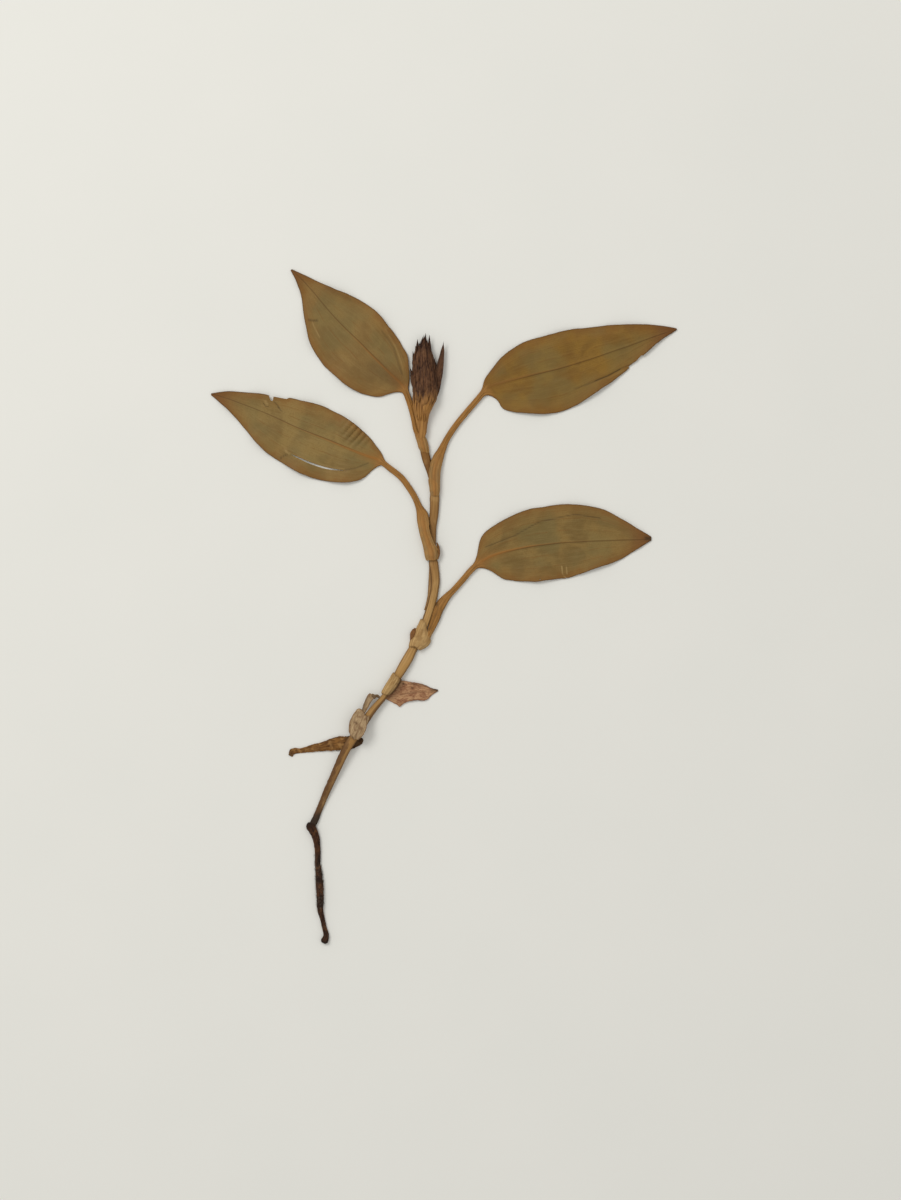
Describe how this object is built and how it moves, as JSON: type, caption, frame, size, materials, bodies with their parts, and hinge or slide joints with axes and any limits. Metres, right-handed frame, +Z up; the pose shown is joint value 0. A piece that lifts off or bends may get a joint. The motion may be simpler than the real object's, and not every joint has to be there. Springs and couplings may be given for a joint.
{
  "type": "jewel orchid",
  "caption": "Pressed and dried jewel orchid lying flat: stalked oval leaves on a jointed stem, a head of dark pointed bracts above and old roots below.",
  "frame": {"origin": "centre of the plant's outline in plan, on the surface that it lies on", "axes": "+Z up out of the surface, +Y along the plant from the roots to the flower head, +X to the right as seen from above"},
  "size_m": [0.1706, 0.2472, 0.0047],
  "materials": {
    "stem": "dry, striate, matt",
    "leaf": "dry, faintly satin, veined",
    "root": "rough, dry",
    "side_root": "wrinkled, dry",
    "sheath": "papery, matt",
    "grey_sheath": "papery, frayed, matt",
    "scale_leaf": "papery, crumpled, matt",
    "bract": "dry, matt",
    "flower_cup": "dry, ribbed, matt"
  },
  "bodies": {
    "root": {"stem": "stem", "tap_root": "root", "side_root": "side_root", "leaf_upper_left": "leaf", "leaf_left": "leaf", "leaf_upper_right": "leaf", "leaf_lower_right": "leaf", "lower_sheath": "sheath", "knuckle_sheath": "grey_sheath", "scale_leaf": "scale_leaf", "flower_bracts": "bract", "flower_cup": "flower_cup"}
  },
  "joints": []
}
